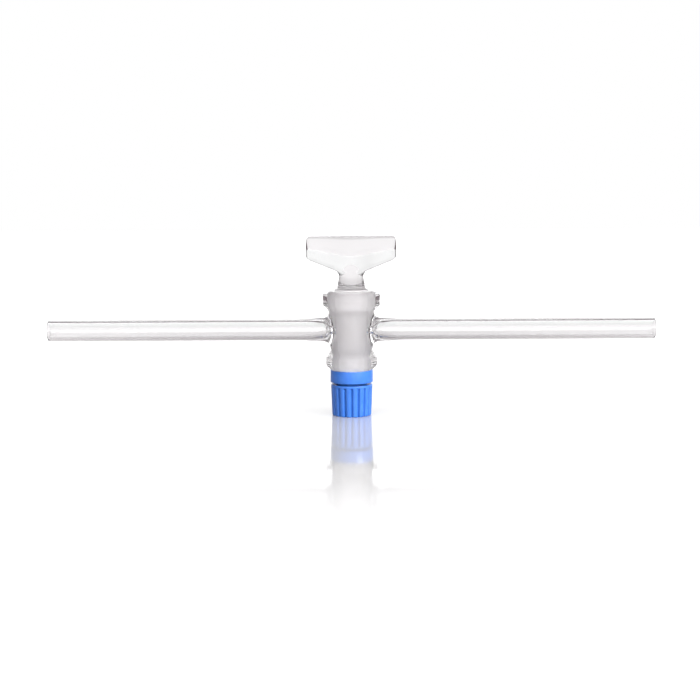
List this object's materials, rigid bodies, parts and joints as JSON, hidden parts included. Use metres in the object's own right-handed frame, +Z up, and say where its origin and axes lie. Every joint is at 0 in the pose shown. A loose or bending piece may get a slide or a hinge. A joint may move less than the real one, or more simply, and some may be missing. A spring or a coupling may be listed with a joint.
{
  "type": "glass stopcock",
  "caption": "Straight-bore glass stopcock: barrel with two tubular side arms, ground taper T-handle key, and a screw device with a ribbed nut that holds the key in.",
  "frame": {"origin": "centre of the underside of the nut, on the axis that the key turns about", "axes": "+Z up along the key's axis towards the handle, +X along the two side arms, +Y across them"},
  "size_m": [0.225, 0.0214, 0.0666],
  "materials": {
    "clear_glass": "clear borosilicate glass, fire-polished outside, ground matt in the taper",
    "blue_plastic": "moulded mid-blue polypropylene, satin gloss",
    "black_rubber": "smooth black rubber",
    "white_plastic": "natural white acetal, satin"
  },
  "bodies": {
    "body": {"glass_body": "clear_glass"},
    "key": {"glass_key": "clear_glass", "split_ring": "white_plastic"},
    "sleeve": {"flanged_sleeve": "blue_plastic"},
    "nut": {"ribbed_nut": "blue_plastic", "rubber_ring": "black_rubber"}
  },
  "joints": [
    {"name": "key_turn", "type": "hinge", "parent": "body", "child": "key", "pos_m": [0, 0, 0.032], "axis": [0, 0, 1], "continuous": true},
    {"name": "nut_turn", "type": "hinge", "parent": "key", "child": "nut", "pos_m": [0, 0, 0.0056], "axis": [0, 0, 1], "range_deg": [0, 144.5]},
    {"name": "sleeve_slide", "type": "slide", "parent": "key", "child": "sleeve", "axis": [0, 0, 1], "range_m": [-0.0006, 0]}
  ],
  "couplings": [
    {"joint": "nut_turn", "follows": "sleeve_slide", "rad_per_m": -4188.8}
  ]
}
